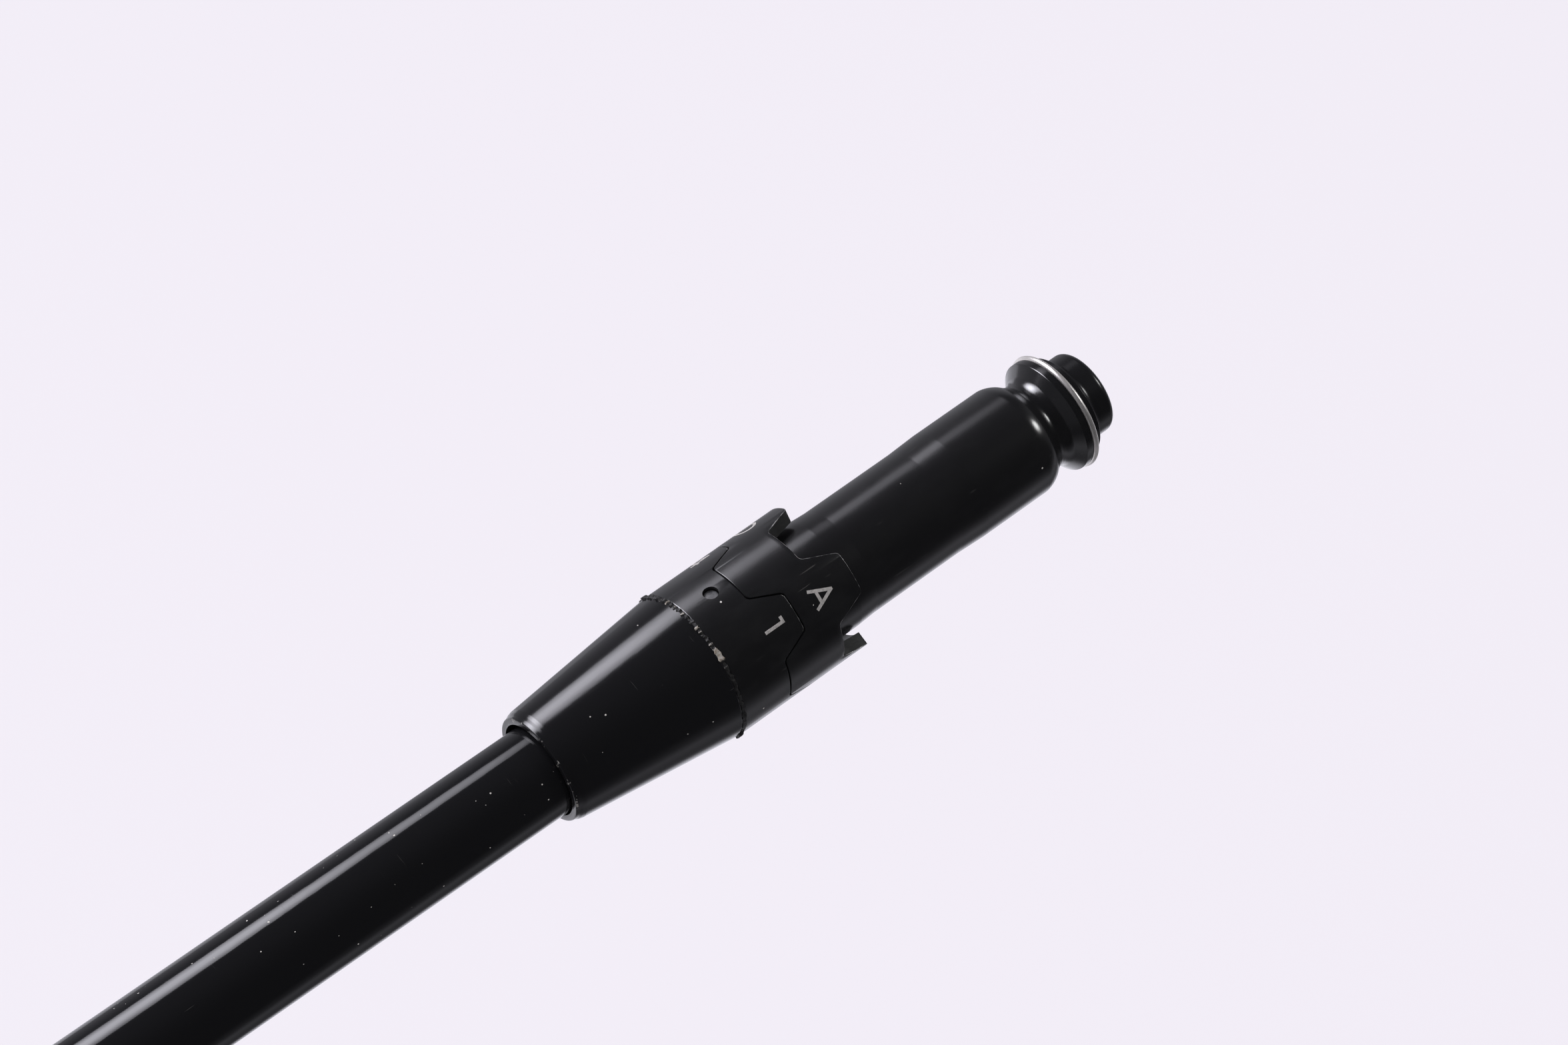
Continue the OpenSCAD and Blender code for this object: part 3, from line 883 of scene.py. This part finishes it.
bm = bmesh.new()
bmesh.ops.create_circle(
    bm, cap_ends=False, radius=wire_r, segments=28,
    matrix=Matrix.Translation((SEAM + wire_z, 0, wire_mean_r))
    @ Matrix.Rotation(math.pi / 2, 4, "X"),
)
bmesh.ops.spin(
    bm, geom=bm.verts[:] + bm.edges[:], cent=(0, 0, 0), axis=(1, 0, 0), angle=math.tau,
    steps=AROUND, use_merge=True,
)
into_place(bm, "wire_ring", "retainer", "retaining_ring", "ring_steel", spring_wire)

# ---- End bushing
# A hard black plug pressed into the neck, which holds the thread insert and closes the tip. Its
# wide back covers the flange.
tip_z = -SEAM
bushing_r = 4.065
bushing_spigot_r = 3.18
bushing_back_r = 4.95
bushing_step = 43.8
insert_hole_r = 2.72
insert_start = 35.4
vent_r = 1
bushing_outline = [
    (neck_floor, vent_r, 0), (neck_floor, bushing_spigot_r, 0.1),
    (flange_end, bushing_spigot_r, 0), (flange_end + 2 * HAIR, bushing_back_r, 0.04),
    (bushing_step, bushing_back_r, 0.06), (bushing_step, bushing_r, 0.8), (tip_z, bushing_r, 0.7),
    (tip_z, insert_hole_r, 0.08), (insert_start, insert_hole_r, 0), (insert_start, vent_r, 0),
]

bushing_gloss = glossy_black(
    "bushing_gloss", black_plastic, smoothest=0.2, roughest=0.26, dust=0.08, rarity=0.87,
)

bm = bmesh.new()
turn_round(bm, bushing_outline)
into_place(bm, "tip_bushing", "adapter", "end_bushing", "bushing", bushing_gloss)

# ---- Thread insert
# Turned steel, moulded into the bushing, with an M5 thread for the head's screw. The thread is
# cut as one ridge that winds along the bore.
PITCH = 0.8
THREAD_STEPS = 48               # faces for each turn
insert_r = 2.7
crest_r = 2.1
root_r = 2.5
insert_grey = (0.4, 0.39, 0.37, 1)
insert_bright = (0.56, 0.55, 0.53, 1)

insert_metal, shader, wire = new_material("insert_steel", Metallic=1.0)
tool_marks = wire.noise(wire.place((6, 1, 1)), 2.0, 3.0, 0.6)
feed(
    shader, wire, Base_Color=wire.mix(tool_marks, insert_grey, insert_bright),
    Roughness=tool_marks * 0.15 + 0.25, Normal=wire.bumps(tool_marks, 0.004),
)

bm = bmesh.new()
turn_round(bm, [
    (insert_start, root_r, 0), (insert_start, insert_r, 0.05), (tip_z, insert_r, 0),
    (tip_z, root_r, 0),
])
turns = int((tip_z - insert_start - PITCH) / PITCH)
ridge_foot_r = root_r - HAIR
ridge = [
    bm.verts.new((SEAM + insert_start + share * PITCH, 0, r))
    for share, r in ((0.06, ridge_foot_r), (0.44, crest_r), (0.56, crest_r), (0.94, ridge_foot_r))
]
ridge_edges = [bm.edges.new(pair) for pair in zip(ridge, ridge[1:] + ridge[:1])]
bmesh.ops.spin(
    bm, geom=ridge + ridge_edges, cent=(SEAM, 0, 0), axis=(1, 0, 0), angle=math.tau * turns,
    steps=THREAD_STEPS * turns, dvec=(PITCH / THREAD_STEPS, 0, 0), use_merge=False,
)
bmesh.ops.holes_fill(bm, edges=bm.edges, sides=4)
into_place(bm, "screw_insert", "adapter", "thread_insert", "insert_steel", insert_metal)

# ---- Studio
# The part hangs over a pale floor. One long card of light stands behind and above it, a small lamp
# is off the tip, and the room in front is dark, so the black surfaces show only narrow lights.
# Everything here is in metres.
BACKDROP = (0.896, 0.854, 0.928, 1)
FACING = Vector((0, -0.466, 0.885))    # out of the part's camera side
RISING = Vector((0, 0.885, 0.466))     # up from that side
BLACK = (0, 0, 0, 1)


def aim_at(thing, target):
    """Turns a lamp or a camera to a point."""
    thing.rotation_euler = (Vector(target) - thing.location).to_track_quat("-Z", "Y").to_euler()


def grey(level):
    """A light's grey, a little to the blue."""
    return (level * 0.97, level * 0.96, level * 1.05, 1)


def part_along(wire, direction, axis):
    """How much of a direction lies along an axis."""
    return wire.node(
        "ShaderNodeVectorMath", {0: direction, 1: axis}, out="Value", operation="DOT_PRODUCT",
    )


# The lamp: how far it is past the tip, out from the part's axis, and down.
LAMP_PAST = 0.84
LAMP_OUT = 0.545
LAMP_DOWN = 0.015

lamp = bpy.data.lights.new("lamp_tip", "AREA")
lamp.shape = "DISK"
lamp.size = 0.26
lamp.energy = 2.2
lamp_tip = bpy.data.objects.new("lamp_tip", lamp)
lamp_tip.location = Vector((LAMP_PAST, 0, 0)) + FACING * LAMP_OUT - RISING * LAMP_DOWN
bpy.context.scene.collection.objects.link(lamp_tip)
aim_at(lamp_tip, (0, 0, 0))

# The card, which runs along X: how far its middle line is from the part's axis, and where.
CARD_FAR = 0.91
CARD_ANGLE = math.radians(81)          # from FACING towards RISING
CARD_STRENGTH = 10.0
CARD_FADE = (0.06, 0.36)               # off its middle line, its light fades from here to there
# Where it is how wide.
CARD_SHAPE = [(-1.1, 0.62), (0.02, 0.62), (0.14, 0.52), (0.24, 0.37), (0.3, 0.29), (0.6, 0.27)]
# Its levels from one end, 0, to the other, 1.
CARD_LEVELS = [
    (0.0, 0.3), (0.22, 0.6), (0.36, 0.9), (0.45, 1.4), (0.63, 1.4), (0.68, 0.82), (0.735, 0.8),
    (0.76, 0.5), (0.78, 0.42), (0.804, 0.34), (0.812, 0.15), (0.8225, 0.115), (0.838, 0.12),
    (0.842, 0.075), (0.848, 0.065), (0.857, 0.065), (0.88, 0.055), (0.9, 0.05), (1.0, 0.03),
]
card_middle = (FACING * math.cos(CARD_ANGLE) + RISING * math.sin(CARD_ANGLE)) * CARD_FAR

card_light, shader, wire = new_material(
    "bounce_card_light", Base_Color=BLACK, Emission_Strength=CARD_STRENGTH,
)
toward = wire.node("ShaderNodeTexCoord", {}, out="Object")
along = wire.node("ShaderNodeSeparateXYZ", {"Vector": toward}, out="X")
glow = wire.node(
    "ShaderNodeValToRGB", {"Fac": along.band(CARD_SHAPE[0][0], CARD_SHAPE[-1][0])},
    stops=[(place, grey(level)) for place, level in CARD_LEVELS],
)
ahead = card_middle.cross((1, 0, 0)).normalized()
off_middle = wire.maths("ABSOLUTE", part_along(wire, toward, ahead))
feed(shader, wire, Emission_Color=wire.mix(off_middle.band(*CARD_FADE), glow, BLACK))

bm = bmesh.new()
bmesh.ops.create_grid(bm, x_segments=len(CARD_SHAPE) - 1, y_segments=1, size=0.5)
columns = sorted({round(v.co.x, 4) for v in bm.verts})
for v in bm.verts:
    x, width = CARD_SHAPE[columns.index(round(v.co.x, 4))]
    v.co = (x, v.co.y * width, 0)
card_tilt = math.atan2(card_middle.z, card_middle.y) - math.pi / 2
bmesh.ops.rotate(
    bm, verts=bm.verts, cent=(0, 0, 0), matrix=Matrix.Rotation(card_tilt, 3, "X"),
)
bmesh.ops.translate(bm, vec=card_middle, verts=bm.verts)
card = as_object(bm, "bounce_card", card_light)
card.visible_camera = False

FLOOR_DROP = 0.5
FLOOR_HALF = 4
FLOOR_GLOW = 0.9                       # how much of what the camera sees is the backdrop's colour
floor_pale = (0.7, 0.69, 0.73, 1)

floor_paint, shader, wire = new_material("floor_paint", Base_Color=floor_pale, Roughness=0.9)
direct = wire.node("ShaderNodeLightPath", {}, out="Is Camera Ray")
glow = wire.node("ShaderNodeEmission", {"Color": BACKDROP, "Strength": 1.0})
shown = wire.node(
    "ShaderNodeMixShader",
    {0: direct * FLOOR_GLOW, 1: Wire(wire.tree, shader.outputs[0]), 2: glow},
)
wire.tree.links.new(shown.socket, wire.tree.nodes["Material Output"].inputs["Surface"])

bm = bmesh.new()
bmesh.ops.create_grid(
    bm, x_segments=1, y_segments=1, size=FLOOR_HALF,
    matrix=Matrix.Translation((0, 0, -FLOOR_DROP)),
)
floor = as_object(bm, "floor", floor_paint)
floor.visible_glossy = False

# What the black surfaces mirror of the room: the walls' levels round the part's axis, in degrees
# from FACING towards RISING, a pale part behind it, except towards the tip, and the dark ends.
WALL_LEVELS = [
    (-180, 1.2), (-168, 1.15), (-157, 1.0), (-150, 0.75), (-145.5, 0.33), (-141, 0.17),
    (-136, 0.12), (-128, 0.16), (-114, 0.33), (-102, 0.12), (-88, 0.02), (0, 0.02), (98, 0.03),
    (112, 0.18), (128, 0.28), (146, 0.36), (159, 0.28), (166, 0.4), (173, 0.9), (180, 1.2),
]
PALE_FROM = math.radians(140)
PALE_LEVEL = 0.95
END_LEVEL = 0.12
ROOM_LIGHT = (0.6, 0.6, 0.62, 1)       # what it gives to everything else

world = bpy.data.worlds.new("room")
world.use_nodes = True
bpy.context.scene.world = world
wire = Wire(world.node_tree)
toward = wire.node("ShaderNodeTexCoord", {}, out="Generated")
around = wire.maths("ARCTAN2", part_along(wire, toward, RISING), part_along(wire, toward, FACING))
walls = wire.node(
    "ShaderNodeValToRGB", {"Fac": around * (0.5 / math.pi) + 0.5},
    stops=[(0.5 + degrees / 360, grey(level)) for degrees, level in WALL_LEVELS],
)
lengthwise = part_along(wire, toward, (1, 0, 0))
pale_part = (around > PALE_FROM) * lengthwise.band(0.31, 0.2)
walls = wire.mix(pale_part, walls, grey(PALE_LEVEL))
at_ends = wire.maths("ABSOLUTE", lengthwise).band(0.8, 0.97)
room = wire.mix(at_ends, walls, grey(END_LEVEL))
mirrored = wire.node("ShaderNodeLightPath", {}, out="Is Glossy Ray")
lit = wire.mix(mirrored, ROOM_LIGHT, room)
seen_direct = wire.node("ShaderNodeLightPath", {}, out="Is Camera Ray")
sky = wire.mix(seen_direct, lit, BACKDROP)
wire.tree.links.new(sky.socket, wire.tree.nodes["Background"].inputs["Color"])

# ---- Camera
# A long lens from above and behind, so the tip points away.
CAMERA_AT = (-0.22103, -0.21706, 0.41585)
CAMERA_AIM = (-0.031519, 0.005047, 0.002704)

camera_data = bpy.data.cameras.new("camera")
camera_data.sensor_width = 36
camera_data.lens = 131.63
camera_data.clip_start = 0.01
camera = bpy.data.objects.new("camera", camera_data)
camera.location = CAMERA_AT
aim_at(camera, CAMERA_AIM)
bpy.context.scene.collection.objects.link(camera)
bpy.context.scene.camera = camera
bpy.context.scene.view_settings.view_transform = "Standard"
